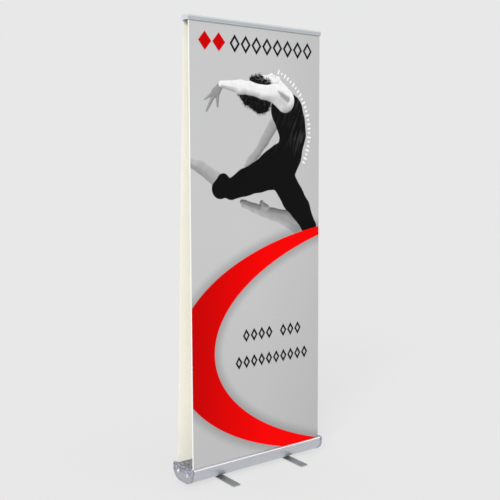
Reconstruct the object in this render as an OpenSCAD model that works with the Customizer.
// Double-sided roll-up banner stand.
// Origin: floor level, under the middle of the cassette. X runs along the cassette,
// Y from front to rear, Z up. Both banners are fully raised and both feet are turned out.

/* [Banners] */
// Width of each printed film
banner_w = 800; // [760:5:804]
// Visible height of each film, from the cassette's deck to the top rail
banner_h = 2097; // [1950:1:2150]
// Thickness of the film
film_t = 0.4; // [0.3:0.1:0.6]

/* [Cassette] */
// Overall width across the end caps
base_w = 830; // [830:1:840]
// Depth of the extruded shell
base_d = 164; // [160:1:176]
// Height of the extruded shell
base_h = 75; // [74:1:80]
// Gap between the floor and the shell
base_lift = 18; // [18:1:24]
// Radius of the shell's two lower corners
tub_r = 55; // [48:1:58]
// Wall thickness of the shell
tub_wall = 2; // [1.5:0.1:2.4]
// Thickness of each end cap
cap_t = 12; // [12:1:14]

/* [Rollers] */
// Outer radius of a roller tube
roller_r = 16; // [15:0.5:17]
// Distance of each roller's axis from the middle plane
roller_y = 40; // [39:0.5:41]
// Height of the roller axes above the shell's underside
roller_lift = 42; // [41:0.5:44]

/* [Pole] */
// Outer radius of the lowest pole tube
pole_r = 12.5; // [12.2:0.1:12.8]
// How far each pole section slides into the one below
pole_travel = 640; // [600:5:640]
// Length of tube that stays inside the section below when raised
pole_overlap = 60; // [60:2:70]

/* [Top rail] */
// Depth of the top rail
rail_d = 50; // [48:1:54]
// Height of the top rail
rail_h = 24; // [24:1:28]
// Overall width across the rail's end caps
rail_w = 810; // [810:1:820]

/* [Feet] */
// Length of each swivel foot
foot_l = 344; // [320:2:360]
// Width of each swivel foot
foot_w = 44; // [42:1:54]
// Thickness of a foot's bar
foot_t = 6; // [5:0.5:6]
// Distance of each foot's pivot from the middle
foot_x = 215; // [200:5:220]

/* [Hidden] */
$fn = 64;

FRONT = -1;
REAR = 1;
LEFT = -1;
RIGHT = 1;

// clearances
fit = 0.05;           // play of a running fit
film_gap = 0.3;       // film to a moving neighbour

// heights
base_top = base_lift + base_h;
rail_z = base_top + banner_h;
roller_z = base_lift + roller_lift;

// cassette
shell_l = base_w - 2 * cap_t;
top_edge_r = 5;       // rounding of the shell's two top edges
slot_y = 65;          // where the film passes the deck
slot_in = 61;
slot_out = 69;
lip_t = 1.6;
lip_h = 13;
web_y = 14;           // inner faces of the two central webs
groove_r = 0.9;
port_r = 4;
port_bore = 1.6;
port_low_y = 24;
port_high_y = 50;
port_inset = 5.5;

// end caps
cap_grow = 1.5;       // how far a cap stands out around the shell
cap_recess = 2.5;
cap_rim = 5;
screw_head_r = 3.4;
screw_head_h = 2;
disc_r = 10.5;
disc_t = 1.6;

// rollers
tube_wall = 1.2;
tube_end = shell_l / 2 - 2;
plug_l = 30;
axle_r = 4;
axle_end = base_w / 2 - cap_recess;
anchor_x = 60;
spring_start = anchor_x + plug_l + 4;
spring_end = tube_end - plug_l - 6;
spring_pitch = 5;
wrap_turns = 3;
wrap_r = roller_r + wrap_turns * film_t;

// film route
film_foot_y = roller_y + wrap_r + film_gap + film_t / 2;
film_join_z = base_top - 7;
film_top_y = 20.5;
film_in_rail = 15;

// pole: each section is a tube that slides in the one below
tube_t = 1.2;
step_r = 2;           // drop in radius from one section to the next
collar_grip = 28;     // length of a collar over the tube that it clamps
collar_cap = 17;      // length of a collar over the tube that slides
bush_l = 34;
pole_foot_z = base_lift + tub_wall + 3;
section_l = pole_travel + 2 * pole_overlap;
head_cup = 22;
pin_r = 6;
head_pin = 26;

function radius_of(level) = pole_r - level * step_r;
function bottom_of(level) = pole_foot_z + level * (section_l - pole_overlap);
upper_top = rail_z - 18;

// top rail
rail_corner_r = 9;
rail_wall = 1.8;
rail_cap_t = 3;
rail_web_y = 10;
rail_slot_in = 19;
rail_slot_out = 22.5;
rail_port_r = 3.2;
rail_port_bore = 1.2;
bracket_l = 44;

// feet
pad_t = 4;
pad_r = 10;
bolt_r = 4;
bolt_head_h = 2.6;
bolt_head_r = 8;
washer_t = 3;
washer_r = 16;
foot_top = pad_t + foot_t;
plate_z = foot_top + washer_t;
plate_l = 90;
plate_w = 44;
rivet_r = 2.4;

// ---------- helpers ----------

// extrudes a section drawn in the Y-Z plane along X, centred
module along_x(length) {
    rotate([90, 0, 90])
        linear_extrude(length, center = true)
            children();
}

// round bar along X from x0 to x1
module rod_x(x0, x1, r) {
    translate([x0, 0, 0])
        rotate([0, 90, 0])
            cylinder(r = r, h = x1 - x0);
}

module tube_x(x0, x1, r_out, r_in) {
    difference() {
        rod_x(x0, x1, r_out);
        rod_x(x0 - 1, x1 + 1, r_in);
    }
}

module tube_z(z0, z1, r_out, r_in) {
    difference() {
        translate([0, 0, z0]) cylinder(r = r_out, h = z1 - z0);
        translate([0, 0, z0 - 1]) cylinder(r = r_in, h = z1 - z0 + 2);
    }
}

// flat-topped outline with two large round lower corners and two small upper ones
module tub_outline(d, h, r, r_top) {
    for (s = [-1, 1]) {
        intersection() {
            translate([s * (d / 2 - r), r]) circle(r);
            translate([-d / 2, 0]) square([d, r]);
        }
        translate([s * (d / 2 - r_top), h - r_top]) circle(r_top);
    }
    translate([-d / 2 + r, 0]) square([d - 2 * r, h]);
    translate([-d / 2, r]) square([d, h - r - r_top]);
    translate([-d / 2 + r_top, r]) square([d - 2 * r_top, h - r]);
}

module at_roller(side) {
    translate([0, side * roller_y, roller_z]) children();
}

// the four end-cap screw places, in the Y-Z plane from the shell's underside
module at_ports() {
    for (s = [-1, 1]) {
        translate([s * port_low_y, port_inset]) children();
        translate([s * port_high_y, base_h - port_inset]) children();
    }
}

// ---------- cassette ----------

module shell_section() {
    inner_h = base_h - 2 * tub_wall;
    difference() {
        union() {
            difference() {
                tub_outline(base_d, base_h, tub_r, top_edge_r);
                translate([0, tub_wall])
                    tub_outline(base_d - 2 * tub_wall, inner_h, tub_r - tub_wall, top_edge_r - tub_wall);
            }
            for (s = [-1, 1]) {
                // webs of the central pole channel
                translate([s * (web_y + tub_wall / 2) - tub_wall / 2, tub_wall / 2])
                    square([tub_wall, base_h - tub_wall]);
                // turned-down lip that carries the felt
                translate([s * (slot_out + lip_t / 2) - lip_t / 2, base_h - lip_h])
                    square([lip_t, lip_h - tub_wall / 2]);
            }
            at_ports() circle(port_r);
        }
        for (s = [-1, 1]) {
            translate([s * slot_y - (slot_out - slot_in) / 2, base_h - tub_wall - 1])
                square([slot_out - slot_in, tub_wall + 2]);
            // decorative lines along the front and rear faces
            for (z = [base_h - 16, base_h - 19])
                translate([s * base_d / 2, z]) circle(groove_r);
        }
        at_ports() circle(port_bore);
    }
}

module cassette_profile() {
    color("silver")
    difference() {
        translate([0, 0, base_lift]) along_x(shell_l) shell_section();
        // hole for the pole socket
        translate([0, 0, base_top - 10]) cylinder(r = pole_r + 1.5, h = 20);
        // holes for the foot pivots and the plate rivets
        for (s = [-1, 1]) translate([s * foot_x, 0, base_lift - 1]) {
            cylinder(r = bolt_r + fit, h = 6);
            for (e = [-1, 1]) translate([e * plate_l * 0.36, 0, 0]) cylinder(r = rivet_r, h = 6);
        }
    }
}

module end_cap(side) {
    d = base_d + 2 * cap_grow;
    h = base_h + 2 * cap_grow;
    z = base_lift - cap_grow;
    rim_d = d - 2 * cap_rim;
    rim_h = h - 2 * cap_rim;
    mirror([side < 0 ? 1 : 0, 0, 0])
    difference() {
        translate([shell_l / 2 + cap_t / 2, 0, z])
            along_x(cap_t) tub_outline(d, h, tub_r + cap_grow, top_edge_r + cap_grow);
        // recessed outer face, with the ribs left standing
        difference() {
            translate([base_w / 2, 0, z + cap_rim])
                along_x(2 * cap_recess) tub_outline(rim_d, rim_h, tub_r + cap_grow - cap_rim, 3);
            for (k = [0:3])
                translate([axle_end - 2, -52, base_top - 8 - k * 3.2])
                    cube([3.2, 104, 1.2]);
            for (s = [-1, 1]) at_roller(s) rod_x(axle_end - 2, axle_end + 1, disc_r + 3);
        }
        // seats for the axles and the cap screws
        for (s = [-1, 1]) at_roller(s) rod_x(shell_l / 2 - 1, base_w / 2 + 1, axle_r + fit);
        for (s = [-1, 1]) at_roller(s) rod_x(axle_end, base_w / 2 + 1, disc_r + fit);
        translate([0, 0, base_lift]) {
            translate([shell_l / 2 + cap_t / 2, 0, 0])
                along_x(cap_t + 2) at_ports() circle(port_bore + 0.2);
            translate([axle_end, 0, 0])
                along_x(2 * screw_head_h) at_ports() circle(screw_head_r + 0.2);
        }
    }
}

module left_end_cap() {
    color("gray") end_cap(LEFT);
}

module right_end_cap() {
    color("gray") end_cap(RIGHT);
}

module end_cap_screws() {
    seat = axle_end - screw_head_h;
    shank = 24;
    color("lightgray")
    for (m = [0, 1]) mirror([m, 0, 0]) translate([0, 0, base_lift])
        difference() {
            union() {
                translate([seat - shank / 2, 0, 0]) along_x(shank) at_ports() circle(port_bore - fit);
                translate([seat + screw_head_h / 2, 0, 0]) along_x(screw_head_h) at_ports() circle(screw_head_r);
            }
            // cross recess
            translate([axle_end, 0, 0])
                along_x(2) at_ports() {
                    square([3.6, 0.8], center = true);
                    square([0.8, 3.6], center = true);
                }
        }
}

module axle_discs() {
    color("gainsboro")
    for (m = [0, 1], s = [FRONT, REAR]) mirror([m, 0, 0]) at_roller(s)
        difference() {
            union() {
                rod_x(axle_end, axle_end + disc_t, disc_r);
                rod_x(axle_end + disc_t, base_w / 2, disc_r - 2);
            }
            translate([base_w / 2, 0, 0]) cube([2, disc_r * 1.3, 1.6], center = true);
        }
}

module slot_felt(side) {
    t = slot_out - slot_y - 1;
    color("dimgray")
    translate([0, side * (slot_out - t / 2), base_top - lip_h])
        along_x(shell_l - 2) translate([-t / 2, 0]) square([t, lip_h - tub_wall - 1]);
}

module front_slot_felt() { slot_felt(FRONT); }
module rear_slot_felt() { slot_felt(REAR); }

// ---------- rollers ----------

module roller_tube(side) {
    color("silver") at_roller(side) tube_x(-tube_end, tube_end, roller_r, roller_r - tube_wall);
}

module front_roller_tube() { roller_tube(FRONT); }
module rear_roller_tube() { roller_tube(REAR); }

// the last turns of film, which stay on the roller when the banner is up
module film_wrap(side) {
    color("whitesmoke") at_roller(side) tube_x(-banner_w / 2, banner_w / 2, wrap_r, roller_r);
}

module front_film_wrap() { film_wrap(FRONT); }
module rear_film_wrap() { film_wrap(REAR); }

// plug pressed into a roller's end, turning on an axle
module end_plug(x_sign) {
    mirror([x_sign < 0 ? 1 : 0, 0, 0])
    difference() {
        union() {
            rod_x(tube_end - plug_l, tube_end, roller_r - tube_wall);
            rod_x(tube_end, tube_end + 1, roller_r - 0.5);
        }
        rod_x(tube_end - plug_l - 1, tube_end + 2, axle_r + fit);
    }
}

module front_idler_plug() { color("dimgray") at_roller(FRONT) end_plug(LEFT); }
module rear_idler_plug() { color("dimgray") at_roller(REAR) end_plug(LEFT); }
module front_spring_plug() { color("dimgray") at_roller(FRONT) end_plug(RIGHT); }
module rear_spring_plug() { color("dimgray") at_roller(REAR) end_plug(RIGHT); }

// plug deep in the roller that holds the turning end of the spring
module anchor_plug(side) {
    color("dimgray") at_roller(side)
        tube_x(anchor_x, anchor_x + plug_l, roller_r - tube_wall, axle_r + fit);
}

module front_anchor_plug() { anchor_plug(FRONT); }
module rear_anchor_plug() { anchor_plug(REAR); }

module idler_pin(side) {
    color("slategray") at_roller(side) rod_x(-axle_end, -tube_end + plug_l - 4, axle_r);
}

module front_idler_pin() { idler_pin(FRONT); }
module rear_idler_pin() { idler_pin(REAR); }

module spring_axle(side) {
    color("slategray") at_roller(side) rod_x(anchor_x - 6, axle_end, axle_r);
}

module front_spring_axle() { spring_axle(FRONT); }
module rear_spring_axle() { spring_axle(REAR); }

// close-wound coil as a solid sleeve with one rounded ridge for each turn
module torsion_spring(side) {
    r_in = axle_r + fit;
    r_mid = 7.4;
    turns = floor((spring_end - spring_start) / spring_pitch);
    color("darkgray") at_roller(side) rotate([0, 90, 0]) rotate_extrude() union() {
        translate([r_in, spring_start]) square([r_mid - r_in, turns * spring_pitch]);
        for (k = [0:turns - 1])
            translate([r_mid, spring_start + (k + 0.5) * spring_pitch]) circle(spring_pitch * 0.42, $fn = 24);
    }
}

module front_torsion_spring() { torsion_spring(FRONT); }
module rear_torsion_spring() { torsion_spring(REAR); }

// ---------- film ----------

// thin strip through the given [y, z] points, with the film's thickness along Y
module film_strip(side, points) {
    near = [for (p = points) [side * p[0] - film_t / 2, p[1]]];
    far = [for (k = [len(points) - 1:-1:0]) [side * points[k][0] + film_t / 2, points[k][1]]];
    along_x(banner_w) polygon(concat(near, far));
}

// blank strip from the roller up to the slot, where the print is joined on
module front_leader() {
    color("white") film_strip(FRONT, [[film_foot_y, roller_z], [slot_y, film_join_z]]);
}

module rear_leader() {
    color("white") film_strip(REAR, [[film_foot_y, roller_z], [slot_y, film_join_z]]);
}

module printed_film(side) {
    film_strip(side, [
        [slot_y, film_join_z],
        [slot_y, base_top],
        [film_top_y, rail_z],
        [film_top_y, rail_z + film_in_rail],
    ]);
}

module front_banner() { color("lightgray") printed_film(FRONT); }
module rear_banner() { color("lightgray") printed_film(REAR); }

// ---------- pole ----------

module pole_socket() {
    r_out = pole_r + 1.2;
    color("dimgray")
    difference() {
        union() {
            translate([0, 0, base_lift + tub_wall]) cylinder(r = r_out, h = base_h - tub_wall + 1);
            translate([0, 0, base_top]) cylinder(r1 = pole_r + 9, r2 = pole_r + 6, h = 4);
        }
        translate([0, 0, pole_foot_z]) cylinder(r = pole_r + fit, h = base_h + 20);
    }
}

module pole_section(level, top) {
    r = radius_of(level);
    color("lightsteelblue") tube_z(bottom_of(level), top, r, r - tube_t);
}

function top_of(level) = bottom_of(level) + section_l;

module pole_lower() { pole_section(0, top_of(0)); }
module pole_middle() { pole_section(1, top_of(1)); }
module pole_upper() { pole_section(2, upper_top); }

// cup on a section's lower end that guides it in the tube around it
module guide_bush(level) {
    r_out = radius_of(level - 1) - tube_t - fit;
    z = bottom_of(level);
    color("dimgray")
    difference() {
        translate([0, 0, z - 3]) cylinder(r = r_out, h = bush_l + 3);
        translate([0, 0, z]) cylinder(r = radius_of(level), h = bush_l + 1);
    }
}

module middle_guide_bush() { guide_bush(1); }
module upper_guide_bush() { guide_bush(2); }

// twist collar: clamps the top of one section onto the next
module collar(level) {
    r_out = radius_of(level) + 4;
    top = top_of(level);
    ribs = 16;
    color("dimgray")
    difference() {
        union() {
            translate([0, 0, top - collar_grip]) cylinder(r = r_out, h = collar_grip + collar_cap - 5);
            translate([0, 0, top + collar_cap - 5]) cylinder(r1 = r_out, r2 = r_out - 3, h = 5);
        }
        translate([0, 0, top - collar_grip - 1]) cylinder(r = radius_of(level) + fit, h = collar_grip + 1.3);
        translate([0, 0, top - 1]) cylinder(r = radius_of(level + 1) + fit, h = collar_cap + 2);
        for (k = [0:ribs - 1])
            rotate(k * 360 / ribs)
                translate([r_out + 0.6, 0, top - collar_grip + 4])
                    cylinder(r = 1.4, h = collar_grip, $fn = 24);
    }
}

module lower_collar() { collar(0); }
module upper_collar() { collar(1); }

// cup on the top tube with the pin that carries the rail
module pole_head() {
    r = radius_of(2);
    color("dimgray")
    difference() {
        union() {
            translate([0, 0, upper_top - head_cup]) cylinder(r = r + 1.2, h = head_cup + 4);
            translate([0, 0, upper_top + 4]) cylinder(r = pin_r, h = head_pin - 1);
            translate([0, 0, upper_top + 3 + head_pin]) cylinder(r1 = pin_r, r2 = pin_r - 1, h = 1);
        }
        translate([0, 0, upper_top - head_cup - 1]) cylinder(r = r + fit, h = head_cup + 1);
    }
}

// ---------- top rail ----------

module rail_outline(d, h, r) {
    translate([0, h]) mirror([0, 1]) tub_outline(d, h, r, 1);
}

module rail_section() {
    difference() {
        union() {
            difference() {
                rail_outline(rail_d, rail_h, rail_corner_r);
                translate([0, -rail_wall - 2])
                    rail_outline(rail_d - 2 * rail_wall, rail_h + 2, rail_corner_r - rail_wall);
            }
            for (s = [-1, 1]) {
                translate([s * (rail_web_y + rail_wall / 2) - rail_wall / 2, 0])
                    square([rail_wall, rail_h - rail_wall / 2]);
                translate([s * (rail_web_y + rail_slot_in) / 2 - (rail_slot_in - rail_web_y) / 2, 0])
                    square([rail_slot_in - rail_web_y, rail_wall]);
                translate([s * (rail_slot_out + rail_d / 2 - 0.5) / 2 - (rail_d / 2 - 0.5 - rail_slot_out) / 2, 0.5])
                    square([rail_d / 2 - 0.5 - rail_slot_out, rail_wall]);
            }
            translate([0, rail_h - rail_wall - rail_port_r + 0.6]) circle(rail_port_r);
        }
        translate([0, rail_h - rail_wall - rail_port_r + 0.6]) circle(rail_port_bore);
        for (s = [-1, 1]) translate([s * rail_d / 2, 8]) circle(0.7);
    }
}

module top_rail() {
    color("lightsteelblue")
        translate([0, 0, rail_z]) along_x(rail_w - 2 * rail_cap_t) rail_section();
}

module rail_cap(side) {
    spigot_l = 10;
    clear = 0.2;
    color("gray")
    mirror([side < 0 ? 1 : 0, 0, 0])
    difference() {
        union() {
            translate([rail_w / 2 - rail_cap_t / 2, 0, rail_z])
                along_x(rail_cap_t) rail_outline(rail_d, rail_h, rail_corner_r);
            // tongue that goes into the rail's middle channel
            translate([rail_w / 2 - rail_cap_t - spigot_l, -rail_web_y + clear, rail_z + 2])
                cube([spigot_l + 1, 2 * (rail_web_y - clear), 12]);
        }
        translate([rail_w / 2, 0, rail_z + rail_h - rail_wall - rail_port_r + 0.6]) {
            rod_x(-rail_cap_t - 2, 1, rail_port_bore + 0.2);
            rod_x(-1.2, 1, 2.6);
        }
    }
}

module left_rail_cap() { rail_cap(LEFT); }
module right_rail_cap() { rail_cap(RIGHT); }

module rail_cap_screws() {
    color("lightgray")
    for (m = [0, 1]) mirror([m, 0, 0])
        translate([rail_w / 2, 0, rail_z + rail_h - rail_wall - rail_port_r + 0.6])
            difference() {
                union() {
                    rod_x(-16, -1.2, rail_port_bore - fit);
                    rod_x(-1.2, 0, 2.4);
                }
                cube([1.2, 3.2, 0.7], center = true);
                cube([1.2, 0.7, 3.2], center = true);
            }
}

// strip that wedges the film's top edge in the rail
module gripper(side) {
    y_in = rail_web_y + rail_wall + 0.2;
    y_out = film_top_y - film_t / 2 - 0.1;
    color("dimgray")
        translate([0, side * (y_in + y_out) / 2, rail_z + rail_wall])
            along_x(rail_w - 2 * rail_cap_t - 4)
                translate([-(y_out - y_in) / 2, 0]) square([y_out - y_in, film_in_rail - rail_wall]);
}

module front_gripper() { gripper(FRONT); }
module rear_gripper() { gripper(REAR); }

// block in the rail's middle channel that takes the pole's pin
module rail_bracket() {
    half = rail_web_y - 0.2;
    color("dimgray")
    difference() {
        union() {
            translate([-bracket_l / 2, -half, rail_z]) cube([bracket_l, 2 * half, 15.5]);
            translate([-bracket_l / 2 - 4, -half - 4, rail_z - 2]) cube([bracket_l + 8, 2 * half + 8, 2]);
        }
        translate([0, 0, rail_z - 3]) cylinder(r = pin_r + fit, h = 18);
    }
}

// ---------- feet ----------

module at_foot(side) {
    translate([side * foot_x, 0, 0]) children();
}

// plate riveted under the shell, which the foot turns against
module foot_plates() {
    color("gray")
    for (s = [LEFT, RIGHT]) at_foot(s)
        difference() {
            translate([-plate_l / 2, -plate_w / 2, plate_z]) cube([plate_l, plate_w, base_lift - plate_z]);
            translate([0, 0, plate_z - 1]) cylinder(r = bolt_r + fit, h = 12);
            for (e = [-1, 1]) translate([e * plate_l * 0.36, 0, plate_z - 1]) cylinder(r = rivet_r, h = 12);
        }
}

module plate_rivets() {
    color("lightgray")
    for (s = [LEFT, RIGHT], e = [-1, 1]) at_foot(s) translate([e * plate_l * 0.36, 0, 0]) {
        translate([0, 0, plate_z - 1.6]) cylinder(r1 = rivet_r + 0.6, r2 = rivet_r + 2, h = 1.6);
        translate([0, 0, plate_z]) cylinder(r = rivet_r, h = base_lift + tub_wall - plate_z);
        translate([0, 0, base_lift + tub_wall]) cylinder(r = rivet_r + 1.4, h = 1.6);
    }
}

// shoulder bolt on which a foot turns
module foot_pivot_bolts() {
    hex_r = 2.9;
    head_top = pad_t - fit;
    color("slategray")
    for (s = [LEFT, RIGHT]) at_foot(s)
        difference() {
            union() {
                translate([0, 0, head_top - bolt_head_h]) cylinder(r = bolt_head_r, h = bolt_head_h);
                translate([0, 0, head_top]) cylinder(r = bolt_r, h = base_lift + tub_wall + 9 - head_top);
            }
            translate([0, 0, head_top - bolt_head_h - 1]) cylinder(r = hex_r, h = 2.8, $fn = 6);
        }
}

module foot_pivot_nuts() {
    color("lightgray")
    for (s = [LEFT, RIGHT]) at_foot(s)
        difference() {
            translate([0, 0, base_lift + tub_wall]) cylinder(r = 7.5, h = 6.5, $fn = 6);
            translate([0, 0, base_lift]) cylinder(r = bolt_r, h = 12);
        }
}

module foot_washers() {
    color("whitesmoke")
    for (s = [LEFT, RIGHT]) at_foot(s)
        tube_z(foot_top + fit, plate_z, washer_r, bolt_r + fit);
}

module foot_bar(side) {
    chamfer = 1.2;
    w = foot_w / 2;
    end_r = 4;
    color("darkgray") at_foot(side)
    difference() {
        intersection() {
            // bar with chamfered long edges
            translate([0, 0, pad_t]) rotate([90, 0, 0]) linear_extrude(foot_l, center = true)
                polygon([
                    [-w, chamfer], [-w + chamfer, 0], [w - chamfer, 0], [w, chamfer],
                    [w, foot_t - chamfer], [w - chamfer, foot_t], [-w + chamfer, foot_t], [-w, foot_t - chamfer],
                ]);
            // rounded corners in plan
            translate([0, 0, pad_t - 1]) linear_extrude(foot_t + 2) {
                square([foot_w, foot_l - 2 * end_r], center = true);
                square([foot_w - 2 * end_r, foot_l], center = true);
                for (i = [-1, 1], j = [-1, 1])
                    translate([i * (w - end_r), j * (foot_l / 2 - end_r)]) circle(end_r);
            }
        }
        translate([0, 0, pad_t - 1]) cylinder(r = bolt_r + fit, h = foot_t + 2);
    }
}

module left_foot() { foot_bar(LEFT); }
module right_foot() { foot_bar(RIGHT); }

module foot_pads(side) {
    color("black") at_foot(side)
    for (e = [-1, 1]) translate([0, e * (foot_l / 2 - 18), 0]) {
        cylinder(r1 = pad_r - 1, r2 = pad_r, h = 1);
        translate([0, 0, 1]) cylinder(r = pad_r, h = pad_t - 1);
    }
}

module left_foot_pads() { foot_pads(LEFT); }
module right_foot_pads() { foot_pads(RIGHT); }

// ---------- drawing ----------

cassette_profile();
left_end_cap();
right_end_cap();
end_cap_screws();
axle_discs();
front_slot_felt();
rear_slot_felt();
front_roller_tube();
rear_roller_tube();
front_film_wrap();
rear_film_wrap();
front_idler_plug();
rear_idler_plug();
front_spring_plug();
rear_spring_plug();
front_anchor_plug();
rear_anchor_plug();
front_idler_pin();
rear_idler_pin();
front_spring_axle();
rear_spring_axle();
front_torsion_spring();
rear_torsion_spring();
front_leader();
rear_leader();
front_banner();
rear_banner();
pole_socket();
pole_lower();
pole_middle();
pole_upper();
middle_guide_bush();
upper_guide_bush();
lower_collar();
upper_collar();
pole_head();
rail_bracket();
top_rail();
left_rail_cap();
right_rail_cap();
rail_cap_screws();
front_gripper();
rear_gripper();
foot_plates();
plate_rivets();
foot_pivot_bolts();
foot_pivot_nuts();
foot_washers();
left_foot();
right_foot();
left_foot_pads();
right_foot_pads();
